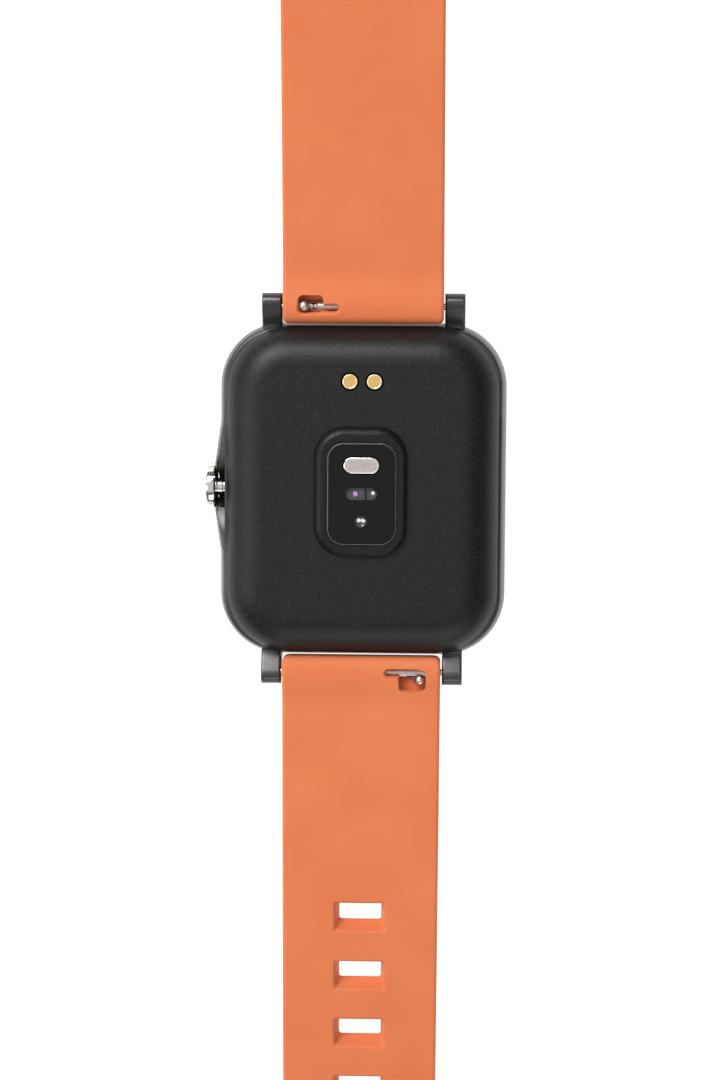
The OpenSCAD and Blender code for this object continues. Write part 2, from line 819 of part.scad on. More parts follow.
module at_pin() { at_run(upper_runs, 3) translate([0, upper_runs[3][0], 0]) children(); }

// Loop round the strap, centred at y along its straight length, open towards -Z for the long half
module keeper(y, inner_w, top) {
  bottom = -strap_t * 1.5 - 0.6;
  at_run(upper_runs, 3) translate([0, y, 0]) rotate([90, 0, 0])
    linear_extrude(keeper_l, center = true) difference() {
      translate([0, (top + bottom) / 2])
        round_rect(inner_w + 2 * keeper_wall, top - bottom + 2 * keeper_wall, 1.5);
      translate([0, (top + bottom) / 2]) round_rect(inner_w, top - bottom, 0.5);
    }
}

module fixed_keeper() {
  color([0.88, 0.48, 0.33]) upper_side() keeper(fixed_keeper_y, upper_width(72), strap_t / 2);
}

module free_keeper() {
  color([0.88, 0.48, 0.33]) upper_side()
    keeper(free_keeper_y, upper_width(44) + 0.3, strap_t / 2 + 0.15);
}

module buckle_pin() {
  color("silver") upper_side() at_pin()
    x_bar(buckle_pin_r, -buckle_inner_w / 2 - 1.1, buckle_inner_w / 2 + 1.1);
}

// Two arms and a crossbar; the arms turn on the pin's ends
module buckle_frame() {
  x = buckle_inner_w / 2;
  color("dimgray") upper_side() at_pin() difference() {
    union() {
      for (side = [-1, 1]) translate([side * (x + arm_t / 2), 0, 0]) {
        x_bar(1.4, -arm_t / 2, arm_t / 2);
        translate([-arm_t / 2, 0, -arm_h / 2]) cube([arm_t, buckle_reach, arm_h]);
      }
      translate([0, buckle_reach, 0]) x_bar(arm_h / 2, -x - arm_t, x + arm_t);
      translate([-x - arm_t, buckle_reach - 1, -arm_h / 2]) cube([2 * (x + arm_t), 1, arm_h]);
    }
    x_bar(buckle_pin_r + 0.04, -x - 1.2, x + 1.2);
    translate([-tongue_w / 2 - 0.15, buckle_reach - 2, -arm_h]) cube([tongue_w + 0.3, 5, arm_h / 2 + 0.4]);
  }
}

// Tongue: an eye on the pin and a flat prong that rests in the crossbar's notch
module buckle_tongue() {
  color("dimgray") upper_side() at_pin() rotate([90, 0, 90])
    linear_extrude(tongue_w, center = true) difference() {
      union() {
        circle(1.35);
        polygon([
          [-0.2, -1.35], [0, -1.35], [buckle_reach - 2.5, -2.1], [buckle_reach + 1.2, -1.9],
          [buckle_reach + 1.7, -1.3], [buckle_reach + 1.3, -0.75], [buckle_reach - 2, -0.7],
          [1.2, 0.3], [0, 0.4]
        ]);
      }
      circle(buckle_pin_r + 0.04);
    }
}

module lower_link(i, last) {
  s0 = start_s(lower_runs, i);
  s1 = s0 + lower_runs[i][0];
  color([0.89, 0.47, 0.32]) lower_side() difference() {
    strap_link(lower_runs, i, lower_width(s0), lower_width(s1), last);
    at_run(lower_runs, i) {
      if (!last) for (k = [0:2]) along(lower_runs, i, hole_pitch * (k + 0.5)) hole_cutter();
      if (last) {
        for (k = [0:1]) along(lower_runs, i, hole_pitch * (k + 0.5)) hole_cutter();
        along(lower_runs, i, lower_runs[i][0]) rounded_tip_cutter();
      }
    }
  }
}

// Everything beyond a round end as wide as the strap
module rounded_tip_cutter() {
  r = lower_end_w / 2 + 0.5;
  difference() {
    translate([-r, -r, -5]) cube([2 * r, 2 * r, 10]);
    translate([0, -r, -6]) cylinder(r = r, h = 12, $fn = 96);
  }
}

module lower_strap_1() {
  color([0.89, 0.47, 0.32]) lower_side()
    strap_root(lower_runs, lower_w, lower_width(lower_lead), lower_pocket);
}
module lower_strap_2() { lower_link(2, false); }
module lower_strap_3() { lower_link(3, false); }
module lower_strap_4() { lower_link(4, false); }
module lower_strap_5() { lower_link(5, true); }

case_frame();
front_glass();
glass_gasket();
display_panel();
display_flex();
inner_chassis();
battery();
battery_lead();
main_board();
shield_can();
board_chips();
gps_antenna();
vibration_motor();
motor_rotor();
chassis_screws();
cover_gasket();
rear_cover();
sensor_bezel();
sensor_window();
skin_electrode();
sensor_baffle();
sensor_board();
sensor_leds();
sensor_photodiodes();
charge_contact_left();
charge_contact_right();
charger_magnets();
crown_tube();
crown();
crown_o_ring();
crown_clip();
crown_washer();
crown_spring();
switch_bracket();
tact_switch();
switch_plunger();
upper_bar_tube();
upper_bar_tip();
upper_release_slider();
upper_release_spring();
lower_bar_tube();
lower_bar_tip();
lower_release_slider();
lower_release_spring();
upper_strap_1();
upper_strap_2();
upper_strap_3();
fixed_keeper();
free_keeper();
buckle_pin();
buckle_frame();
buckle_tongue();
lower_strap_1();
lower_strap_2();
lower_strap_3();
lower_strap_4();
lower_strap_5();
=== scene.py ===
# A square watch seen from the wrist side, modelled round its own CAD frame
import math
import bmesh
import bpy
from mathutils import Matrix, Vector


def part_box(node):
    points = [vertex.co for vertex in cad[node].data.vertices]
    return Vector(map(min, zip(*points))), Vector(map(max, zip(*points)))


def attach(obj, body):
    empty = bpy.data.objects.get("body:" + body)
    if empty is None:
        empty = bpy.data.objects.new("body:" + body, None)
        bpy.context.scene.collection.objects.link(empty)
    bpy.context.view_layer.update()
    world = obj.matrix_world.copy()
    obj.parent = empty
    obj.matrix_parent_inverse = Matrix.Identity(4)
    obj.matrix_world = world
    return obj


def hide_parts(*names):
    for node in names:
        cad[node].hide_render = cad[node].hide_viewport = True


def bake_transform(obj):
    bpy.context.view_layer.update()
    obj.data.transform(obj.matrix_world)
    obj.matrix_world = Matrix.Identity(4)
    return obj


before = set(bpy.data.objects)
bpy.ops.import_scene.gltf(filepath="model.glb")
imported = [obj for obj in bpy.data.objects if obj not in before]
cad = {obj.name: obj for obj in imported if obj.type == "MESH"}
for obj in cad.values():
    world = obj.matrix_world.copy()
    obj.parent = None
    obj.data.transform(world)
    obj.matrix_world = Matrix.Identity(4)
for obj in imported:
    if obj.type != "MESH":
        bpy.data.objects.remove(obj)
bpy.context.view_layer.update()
mm = 0.001
through = 30  # a cutter this long passes right through any piece here
print("frame loaded:", len(cad), "CAD nodes")


# places that come from the frame, in mm
def boxOf(node):
    low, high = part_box(node)
    return low / mm, high / mm


coverTop = boxOf("rear_cover")[1].z
bandLow, bandHigh = 0.7, 6.9
barMiddle = sum(boxOf("upper_bar_tube"), Vector()) / 2
crownLow, crownHigh = boxOf("crown")
crownMiddle = (crownLow + crownHigh) / 2
windowLow, windowHigh = boxOf("sensor_window")
contactMiddles = [sum(boxOf("charge_contact_" + side), Vector()) / 2 for side in ("left", "right")]


# tools for modelling

def clear():
    # operators act on all that is selected, so every job starts with nothing selected
    if bpy.context.object and bpy.context.object.mode == "EDIT":
        bpy.ops.object.mode_set(mode="OBJECT")
    bpy.ops.object.select_all(action="DESELECT")


def take(piece):
    clear()
    piece.select_set(True)
    bpy.context.view_layer.objects.active = piece
    return piece


def place(piece, matrix):
    # puts the piece in the watch's frame and leaves its object at the origin
    take(piece)
    piece.matrix_world = matrix
    bpy.ops.object.transform_apply(location=True, rotation=True, scale=True)
    return piece


def pick(piece, kind, test):
    # edit mode with only the faces, edges or corners selected whose middle (mm) and direction pass
    take(piece)
    bpy.ops.object.mode_set(mode="EDIT")
    bpy.ops.mesh.select_mode(type=kind)
    bpy.ops.mesh.select_all(action="DESELECT")
    mesh = bmesh.from_edit_mesh(piece.data)
    if kind == "FACE":
        found = [f for f in mesh.faces if test(f.calc_center_median() / mm, f.normal)]
    elif kind == "EDGE":
        found = [e for e in mesh.edges
                 if test((e.verts[0].co + e.verts[1].co) / 2 / mm,
                         (e.verts[1].co - e.verts[0].co).normalized())]
    else:
        found = [v for v in mesh.verts if test(v.co / mm, v.normal)]
    for part in found:
        part.select_set(True)
    mesh.select_flush_mode()
    bmesh.update_edit_mesh(piece.data)
    return len(found)


def move(piece, rule):
    # shapes a mesh by a rule that gives each corner its new place, both in mm
    for corner in piece.data.vertices:
        corner.co = Vector(rule(corner.co / mm)) * mm
    return piece


def combine(piece, other, operation="DIFFERENCE"):
    take(piece)
    joiner = piece.modifiers.new("combine", "BOOLEAN")
    joiner.operation = operation
    joiner.solver = "EXACT"
    joiner.object = other
    bpy.ops.object.modifier_apply(modifier=joiner.name)
    bpy.data.objects.remove(other, do_unlink=True)
    return piece


def facesOut(piece):
    take(piece)
    bpy.ops.object.mode_set(mode="EDIT")
    bpy.ops.mesh.select_all(action="SELECT")
    bpy.ops.mesh.remove_doubles(threshold=0.001 * mm)
    bpy.ops.mesh.normals_make_consistent(inside=False)
    bpy.ops.object.mode_set(mode="OBJECT")
    return piece


alongY = (0, 1, 0)


def sliceAt(point, direction, **keep):
    # in edit mode, cuts the mesh by a plane; keep says which side goes and if the cut is closed
    bpy.ops.mesh.select_all(action="SELECT")
    bpy.ops.mesh.bisect(plane_co=point, plane_no=direction, **keep)


def rod(name, radius, length, middle=(0, 0, 0), axis="Z", sides=48, end=0.0):
    # a round bar; end is the rounding of its two rims
    clear()
    turns = {"X": (0, math.pi / 2, 0), "Y": (math.pi / 2, 0, 0), "Z": (0, 0, 0)}
    bpy.ops.mesh.primitive_cylinder_add(vertices=sides, radius=radius * mm, depth=length * mm,
                                        location=Vector(middle) * mm, rotation=turns[axis])
    piece = bpy.context.object
    piece.name = name
    bpy.ops.object.transform_apply(location=True, rotation=True, scale=True)
    if end:
        along = Vector((axis == "X", axis == "Y", axis == "Z"))
        half = length / 2 - 0.01
        centre = Vector(middle)
        pick(piece, "EDGE", lambda m, d: abs((m - centre).dot(along)) > half and abs(d.dot(along)) < 0.1)
        bpy.ops.mesh.bevel(offset=end * mm, segments=4, affect="EDGES")
        bpy.ops.object.mode_set(mode="OBJECT")
    return piece


def stack(name, size, levels, arc=10, sharp=False):
    # a plate with rounded corners, built upwards: size is (width, length, corner radius) and each
    # level is (height, how far the outline stands out); sharp keeps the corner radius as it grows
    width, length, corner = size
    clear()
    bpy.ops.mesh.primitive_plane_add(size=mm)
    piece = bpy.context.object
    piece.name = name
    piece.scale = (width, length, 1)
    piece.location.z = levels[0][0] * mm
    bpy.ops.object.transform_apply(location=True, rotation=True, scale=True)
    bpy.ops.object.mode_set(mode="EDIT")
    bpy.ops.mesh.select_mode(type="VERT")
    bpy.ops.mesh.select_all(action="SELECT")
    bpy.ops.mesh.bevel(offset=corner * mm, segments=arc, profile=0.5, affect="VERTICES", clamp_overlap=False)
    bpy.ops.mesh.select_all(action="SELECT")
    reach = Vector((width / 2 - corner, length / 2 - corner)) * mm
    lastHeight, lastOut = levels[0][0], 0.0
    for i, (height, out) in enumerate(levels):
        if i:
            rise = (0, 0, (height - lastHeight) * mm)
            bpy.ops.mesh.extrude_region_move(TRANSFORM_OT_translate={"value": rise})
        mesh = bmesh.from_edit_mesh(piece.data)
        for v in mesh.verts:
            if v.select:
                side = Vector((math.copysign(1, v.co.x), math.copysign(1, v.co.y)))
                if sharp:
                    v.co.xy += side * (out - lastOut) * mm
                else:
                    arm = v.co.xy - Vector((side.x * reach.x, side.y * reach.y))
                    v.co.xy += arm.normalized() * (out - lastOut) * mm
        bmesh.update_edit_mesh(piece.data)
        lastHeight, lastOut = height, out
    bpy.ops.object.mode_set(mode="OBJECT")
    return facesOut(piece)


def roundedLevels(low, high, radius, steps=4, foot=True):
    # levels of a plate with eased rims, for stack
    arcs = [math.pi / 2 * i / steps for i in range(steps + 1)]
    top = [(high - radius + radius * math.sin(a), radius * math.cos(a) - radius) for a in arcs]
    if not foot:
        return [(low, 0.0)] + top
    return [(low + high - z, out) for z, out in reversed(top)] + top


def loft(name, stations, edge, arc=4):
    # a bar along Y with eased long edges; each station is (distance, width, thickness, lift)
    clear()
    bpy.ops.mesh.primitive_plane_add(size=mm, rotation=(math.pi / 2, 0, 0))
    piece = bpy.context.object
    piece.name = name
    y, width, thick, lift = stations[0]
    radius = min(edge, thick * 0.45)
    piece.scale = (width, thick, 1)
    piece.location = Vector((0, y, lift)) * mm
    bpy.ops.object.transform_apply(location=True, rotation=True, scale=True)
    bpy.ops.object.mode_set(mode="EDIT")
    bpy.ops.mesh.select_mode(type="VERT")
    bpy.ops.mesh.select_all(action="SELECT")
    bpy.ops.mesh.bevel(offset=radius * mm, segments=arc, profile=0.5, affect="VERTICES", clamp_overlap=False)
    bpy.ops.mesh.select_all(action="SELECT")
    last = (y, width, thick, lift, radius)
    for station in stations[1:]:
        y, width, thick, lift = station
        radius = min(edge, thick * 0.45)
        bpy.ops.mesh.extrude_region_move(TRANSFORM_OT_translate={"value": (0, (y - last[0]) * mm, 0)})
        mesh = bmesh.from_edit_mesh(piece.data)
        for v in mesh.verts:
            if v.select:
                x, z = v.co.x / mm, v.co.z / mm - last[3]
                sideX, sideZ = math.copysign(1, x), math.copysign(1, z)
                armX = (x - sideX * (last[1] / 2 - last[4])) * radius / last[4]
                armZ = (z - sideZ * (last[2] / 2 - last[4])) * radius / last[4]
                v.co.x = (sideX * (width / 2 - radius) + armX) * mm
                v.co.z = (sideZ * (thick / 2 - radius) + armZ + lift) * mm
        bmesh.update_edit_mesh(piece.data)
        last = (y, width, thick, lift, radius)
    bpy.ops.object.mode_set(mode="OBJECT")
    return facesOut(piece)


def finish(piece, material, body, replaced=(), angle=35):
    facesOut(piece)
    bpy.ops.object.shade_smooth_by_angle(angle=math.radians(angle))
    weight = piece.modifiers.new("even shading", "WEIGHTED_NORMAL")
    weight.keep_sharp = True
    bpy.ops.object.modifier_apply(modifier=weight.name)
    piece.data.materials.clear()
    piece.data.materials.append(material)
    if body:
        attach(piece, body)
    if replaced:
        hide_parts(*replaced)
    return piece


# tools for materials

def hexColour(code):
    values = [int(code[i:i + 2], 16) / 255 for i in (0, 2, 4)]
    return [v / 12.92 if v <= 0.04045 else ((v + 0.055) / 1.055) ** 2.4 for v in values] + [1.0]


def newMaterial(name, settings):
    material = bpy.data.materials.new(name)
    material.use_nodes = True
    shader = material.node_tree.nodes["Principled BSDF"]
    for socket, value in settings.items():
        shader.inputs[socket].default_value = value
    return material, material.node_tree, shader


def addNode(tree, kind, settings=None, links=None):
    # settings go to sockets by name or number, or else to the node's own properties
    node = tree.nodes.new(kind)
    for key, value in (settings or {}).items():
        if isinstance(key, int) or key in node.inputs:
            node.inputs[key].default_value = value
        else:
            setattr(node, key, value)
    for key, socket in (links or {}).items():
        tree.links.new(socket, node.inputs[key])
    return node


def grain(tree, size, detail=2.0, rough=0.5):
    # noise whose blotches are about size mm across, held to the piece
    where = addNode(tree, "ShaderNodeTexCoord")
    settings = {"Scale": 1 / (size * mm), "Detail": detail, "Roughness": rough}
    return addNode(tree, "ShaderNodeTexNoise", settings, {"Vector": where.outputs["Object"]})


def spread(tree, source, low, high, start=0.3, end=0.7):
    # maps a pattern from start..end onto low..high
    settings = {"From Min": start, "From Max": end, "To Min": low, "To Max": high}
    return addNode(tree, "ShaderNodeMapRange", settings, {"Value": source})


def bumps(tree, shader, source, height):
    bump = addNode(tree, "ShaderNodeBump", {"Strength": 1.0, "Distance": height * mm}, {"Height": source})
    tree.links.new(bump.outputs["Normal"], shader.inputs["Normal"])
    return bump


def roughen(tree, shader, source, low, high):
    tree.links.new(spread(tree, source, low, high).outputs["Result"], shader.inputs["Roughness"])


def tint(tree, shader, source, dark, light, start=0.3, end=0.7):
    # colour that drifts between two shades with a pattern
    ramp = addNode(tree, "ShaderNodeValToRGB", {}, {"Fac": source})
    ramp.color_ramp.elements[0].position = start
    ramp.color_ramp.elements[0].color = hexColour(dark)
    ramp.color_ramp.elements[1].position = end
    ramp.color_ramp.elements[1].color = hexColour(light)
    tree.links.new(ramp.outputs["Color"], shader.inputs["Base Color"])
    return ramp


siliconeLook = {"dark": "CD6C3F", "light": "D07345", "drift": 9.0, "pores": 0.22, "poreDepth": 0.008}


def makeSilicone():
    # moulded silicone rubber with a talc-soft skin: even orange, dull, a little lighter at grazing
    # angles, with a very fine spark-eroded grain from the mould
    material, tree, shader = newMaterial("moulded silicone", {
        "Roughness": 0.55, "IOR": 1.41, "Specular IOR Level": 0.5, "Subsurface Weight": 0.2,
        "Subsurface Scale": 0.6 * mm, "Sheen Weight": 0.25, "Sheen Roughness": 0.45})
    shader.inputs["Subsurface Radius"].default_value = (1.0, 0.3, 0.12)
    shader.inputs["Sheen Tint"].default_value = hexColour("FFC9A0")
    drift = grain(tree, siliconeLook["drift"], 3.0)
    tint(tree, shader, drift.outputs["Fac"], siliconeLook["dark"], siliconeLook["light"])
    pores = grain(tree, siliconeLook["pores"], 3.0, 0.6)
    bumps(tree, shader, pores.outputs["Fac"], siliconeLook["poreDepth"])
    roughen(tree, shader, pores.outputs["Fac"], 0.55, 0.7)
    return material


anodisedLook = {"dark": "4A494B", "light": "545254", "blast": 0.16}


def makeAnodised():
    # bead-blasted, black-anodised aluminium: satin gunmetal with soft broad highlights
    material, tree, shader = newMaterial("black anodised aluminium", {"Metallic": 1.0, "Roughness": 0.4})
    blast = grain(tree, anodisedLook["blast"], 2.0, 0.6)
    tint(tree, shader, grain(tree, 4.0).outputs["Fac"], anodisedLook["dark"], anodisedLook["light"])
    bumps(tree, shader, blast.outputs["Fac"], 0.004)
    roughen(tree, shader, blast.outputs["Fac"], 0.3, 0.39)
    return material


# the light shade gives sparse specks of painted glint on the grain, for the cover and the bezel alike
coverLook = {"dark": "0C0C0E", "light": "29292C", "grain": 0.26, "grainDepth": 0.02}


def makeCoverPlastic(name="spark-eroded black ABS", rough=(0.35, 0.5), gloss=0.3):
    # black ABS moulded in a spark-eroded tool: nearly black, with a fine bumped grain; the lighter specks in
    # its colour are painted glints standing in for the grain's sparkle
    material, tree, shader = newMaterial(name, {"IOR": 1.5, "Specular IOR Level": gloss})
    grainAndGlints = grain(tree, coverLook["grain"], 3.0, 0.65)
    tint(tree, shader, grainAndGlints.outputs["Fac"], coverLook["dark"], coverLook["light"], 0.54, 0.78)
    bumps(tree, shader, grainAndGlints.outputs["Fac"], coverLook["grainDepth"])
    roughen(tree, shader, grainAndGlints.outputs["Fac"], *rough)
    return material


def makeGloss(name, code, rough=0.04, smear=6.0):
    # polished mineral glass or clear-coated plastic over black ink: deep black, with sharp reflections
    # and a hint of wiping marks
    material, tree, shader = newMaterial(name, {"Base Color": hexColour(code), "IOR": 1.52,
                                                "Specular IOR Level": 0.22})
    smudge = grain(tree, smear, 4.0, 0.6)
    roughen(tree, shader, smudge.outputs["Fac"], rough, rough + 0.06)
    return material


def makeMetal(name, dark, light, rough, size, height=0.002, spreadBy=0.08):
    # a metal whose grain is size mm across
    material, tree, shader = newMaterial(name, {"Metallic": 1.0})
    marks = grain(tree, size, 3.0, 0.6)
    tint(tree, shader, marks.outputs["Fac"], dark, light)
    bumps(tree, shader, marks.outputs["Fac"], height)
    roughen(tree, shader, marks.outputs["Fac"], rough, rough + spreadBy)
    return material


def makeDull(name, dark, light, rough, size, metallic=0.0):
    # a plain moulded, laminated or fired surface that drifts between two shades
    material, tree, shader = newMaterial(name, {"Metallic": metallic})
    marks = grain(tree, size, 3.0)
    tint(tree, shader, marks.outputs["Fac"], dark, light)
    bumps(tree, shader, marks.outputs["Fac"], 0.003)
    roughen(tree, shader, marks.outputs["Fac"], rough, rough + 0.1)
    return material


silicone = makeSilicone()
anodised = makeAnodised()
coverPlastic = makeCoverPlastic()
bezelPlastic = makeCoverPlastic("fine-grained black polycarbonate", (0.34, 0.5), 0.24)
windowGlass = makeGloss("black-printed mineral glass", "060607")
displayGlass = makeGloss("front mineral glass", "040405", 0.02)
polishedSteel = makeMetal("polished stainless steel", "C9C4C0", "DAD6D2", 0.1, 1.2, 0.0005, 0.06)
satinSteel = makeMetal("satin stainless steel", "B4ABA6", "CFC8C4", 0.3, 0.25, 0.003, 0.12)
goldPlate = makeMetal("hard gold plating", "DDB264", "EFCB85", 0.24, 0.12, 0.003, 0.12)
buckleSteel = makeMetal("black-coated buckle steel", "353537", "434245", 0.3, 0.15, 0.003, 0.1)

# the pieces inside, by finish: two shades, roughness, size of the marks in mm, metallic, pieces
innerFinishes = {
    "black silicone seal": ("1A1A1B", "242425", 0.6, 0.8, 0.0,
                            ("glass_gasket", "cover_gasket", "crown_o_ring")),
    "laminated display": ("10131C", "191D2A", 0.25, 3.0, 0.0, ("display_panel",)),
    "amber polyimide ribbon": ("A65A12", "C9761C", 0.35, 1.5, 0.0, ("display_flex",)),
    "die-cast magnesium": ("8E8F92", "A5A6A8", 0.5, 0.6, 1.0, ("inner_chassis",)),
    "aluminium pouch foil": ("B8B9BC", "CBCCCE", 0.3, 2.0, 1.0, ("battery",)),
    "red wire insulation": ("A11B18", "B92822", 0.45, 0.5, 0.0, ("battery_lead",)),
    "green solder mask": ("0E4A2A", "175C37", 0.35, 0.7, 0.0, ("main_board", "sensor_board")),
    "stamped nickel steel": ("A9A6A0", "BDBAB4", 0.3, 0.5, 1.0,
                             ("shield_can", "chassis_screws", "vibration_motor", "crown_clip",
                              "switch_bracket", "crown_spring", "upper_release_spring",
                              "lower_release_spring", "crown_tube")),
    "moulded chip resin": ("17181A", "222326", 0.55, 0.3, 0.0, ("board_chips", "tact_switch")),
    "fired antenna ceramic": ("B79A72", "C7AC86", 0.5, 0.4, 0.0, ("gps_antenna",)),
    "sintered tungsten": ("6B6A69", "7C7B79", 0.45, 0.3, 1.0, ("motor_rotor",)),
    "matt black light block": ("0B0B0C", "121213", 0.8, 0.5, 0.0, ("sensor_baffle",)),
    "clear emitter epoxy": ("6B4A8C", "8A66A8", 0.2, 0.3, 0.0, ("sensor_leds",)),
    "silicon photodiode": ("2C3338", "3C454B", 0.2, 0.4, 0.0, ("sensor_photodiodes",)),
    "nickel-plated magnet": ("9C9A97", "AFADA9", 0.25, 0.5, 1.0, ("charger_magnets",)),
    "turned brass": ("B08A3E", "C49D50", 0.3, 0.4, 1.0, ("crown_washer",)),
    "white nylon": ("DAD8D0", "E6E4DC", 0.5, 0.5, 0.0, ("switch_plunger",)),
}


def paint(material, *names):
    for name in names:
        cad[name].data.materials.clear()
        cad[name].data.materials.append(material)


for finishName, (dark, light, rough, size, metallic, members) in innerFinishes.items():
    paint(makeDull(finishName, dark, light, rough, size, metallic), *members)
paint(satinSteel, "buckle_pin", "upper_bar_tube", "upper_bar_tip", "upper_release_slider",
      "lower_bar_tube", "lower_bar_tip", "lower_release_slider")
paint(coverPlastic, "rear_cover")
paint(displayGlass, "front_glass")
print("materials made:", len(bpy.data.materials))


# strap

strap = {
    "thickness": 2.4, "edge": 0.45, "hub": 2.1, "pinHub": 1.7, "swell": 0.9, "corner": 0.9, "step": 1.4,
    "upperWidth": (19.8, 19.3, 76.0), "lowerWidth": (19.7, 19.3, 80.0), "upperPin": 76.0, "lowerEnd": 122.0,
    "tipPlain": 10.0, "pinBore": 0.6,
    # lengths with their turn in degrees, after the slope at which the half leaves the bar
    "upperRuns": (12.0, ((22.0, 2.0), (22.0, 1.5), (32.0, 0.0))),
    "lowerRuns": (-1.0, ((27.6, -2.0), (22.8, -1.0), (22.8, 0.5), (22.8, 2.5), (26.0, 1.0))),
    "holeFirst": 31.4, "holePitch": 7.6, "holeCount": 11, "holeFar": (5.07, 2.06, 0.35),
}


def widthAt(half, s):
    wide, narrow, over = strap[half + "Width"]
    return wide + (narrow - wide) * min(max(s, 0), over) / over


def strapPlace(half, s, lift=0.0):
    # place (y, z) and heading at a distance along a half, with the spring bar at 0, 0
    slope, runs = strap[half + "Runs"]
    y, z, heading, left = 0.0, 0.0, math.radians(slope), s
    for i, (length, turn) in enumerate(runs):
        part = left if left < length or i == len(runs) - 1 else length
        bend = math.radians(turn) * part / length
        along, across = part, 0.0
        if abs(bend) > 1e-9:
            radius = part / bend
            along, across = radius * math.sin(bend), radius * (1 - math.cos(bend))
        y += along * math.cos(heading) - across * math.sin(heading)
        z += along * math.sin(heading) + across * math.cos(heading)
        heading += bend
        left -= part
        if left <= 0:
            break
    return y - lift * math.sin(heading), z + lift * math.cos(heading), heading


def signOf(half):
    return 1 if half == "upper" else -1


def halfTurn(sign):
    # the far end of the watch is the near end turned round
    return Matrix.Identity(4) if sign > 0 else Matrix.Rotation(math.pi, 4, "Z")


def strapFrame(half, s):
    # matrix that puts a piece on the strap: its Y runs along the strap and its Z to the wrist
    y, z, heading = strapPlace(half, s)
    bar = Matrix.Translation((0, signOf(half) * barMiddle.y * mm, barMiddle.z * mm))
    flat = bar @ halfTurn(signOf(half)) @ Matrix.Translation((0, y * mm, z * mm))
    return flat @ Matrix.Rotation(heading, 4, "X")


def bendStrap(piece, half):
    # lays the flat strap along its curve
    sign = signOf(half)

    def rule(p):
        y, z, _ = strapPlace(half, p.y, p.z)
        return sign * p.x, sign * (barMiddle.y + y), barMiddle.z + z
    return move(piece, rule)


def hubThickness(d, radius):
    # thickness at a distance from a swollen end's middle: nearly square, easing into the flat
    flat, swell, ease = strap["thickness"], 2 * strap["swell"] * radius, 4.6
    if d <= 0:
        return max(swell * (1 - (-d / radius) ** 3.2) ** (1 / 3.2), 0.3)
    t = min(d / ease, 1)
    return flat + (swell - flat) * (1 - t * t * (3 - 2 * t))


def endStations(half, radius):
    # stations from the round end towards the flat, as (distance from the middle, thickness, narrowing)
    found = []
    for degrees in (82, 74, 66, 57, 48, 38, 27, 14, 0):
        found.append(-radius * math.sin(math.radians(degrees)))
    found += [0.6, 1.2, 1.8, 2.4, 3.0, 3.6, 4.2, 4.8]
    corner = strap["corner"]
    rows = []
    for d in found:
        inward = corner - (d + radius)
        narrow = corner - math.sqrt(corner ** 2 - inward ** 2) if inward > 0 else 0.0
        rows.append((d, hubThickness(d, radius), narrow))
    return rows


def evenly(start, end, step):
    count = max(1, round((end - start) / step))
    return [start + (end - start) * i / count for i in range(count + 1)]


def makeHoleCutter(s):
    # tapered strap hole with a soft rim on the wrist side
    rim = 0.4
    wallOut = 0.5
    top = strap["thickness"] / 2
    levels = [(-top - 0.3, 0.0), (top - rim, wallOut)]
    for degrees in (18, 36, 54, 72):
        a = math.radians(degrees)
        levels.append((top - rim + rim * math.sin(a), wallOut + rim * (1 - math.cos(a))))
    levels.append((top + 0.3, wallOut + rim * 1.9))
    cutter = stack("hole cutter", strap["holeFar"], levels, arc=5, sharp=True)
    # the end walls draft more than the sides, and the hole leans a little towards the case
    lean, draft = 0.23, 0.13

    def rule(p):
        return p.x * 1.02, p.y * (1 + draft * (p.z + top) / 2 / top) + lean * (p.z - top) / 2 / top, p.z
    move(cutter, rule)
    return place(cutter, Matrix.Translation((0, (s - lean) * mm, 0)))


release = {
    "knob": -7.3, "slot": 4.25, "boreRadius": 0.78,
    "upper": {"pocket": (-0.62, 2.35, -0.6, 1.62), "slotHalf": 0.45, "slotY": 0.0, "floor": 0.0},
    "lower": {"pocket": (-0.75, 2.55, -0.3, 2.25), "slotHalf": 0.42, "slotY": -0.05, "floor": -0.25},
}


def cutRelease(piece, half):
    # bore for the spring bar, and the pocket and slot in which its release knob stands
    shape = release[half]
    flare = [(1.35, 0.0), (1.6, 0.05), (1.78, 0.14), (1.92, 0.3), (2.4, 0.95)]

    def hollow(x0, x1, y0, y1, corner, floor):
        cutter = stack("pocket cutter", (x1 - x0, y1 - y0, corner), [(floor, 0.0)] + flare, arc=6)
        return place(cutter, Matrix.Translation(((x0 + x1) / 2 * mm, (y0 + y1) / 2 * mm, 0)))
    knob = release["knob"]
    x0, x1, y0, y1 = shape["pocket"]
    combine(piece, rod("bore", release["boreRadius"], through, axis="X"))
    combine(piece, hollow(knob + x0, knob + x1, y0, y1, 0.55, shape["floor"]))
    slotLow, slotHigh = shape["slotY"] - shape["slotHalf"], shape["slotY"] + shape["slotHalf"]
    combine(piece, hollow(knob, knob + release["slot"], slotLow, slotHigh, shape["slotHalf"] - 0.01, 0.0))
    return piece


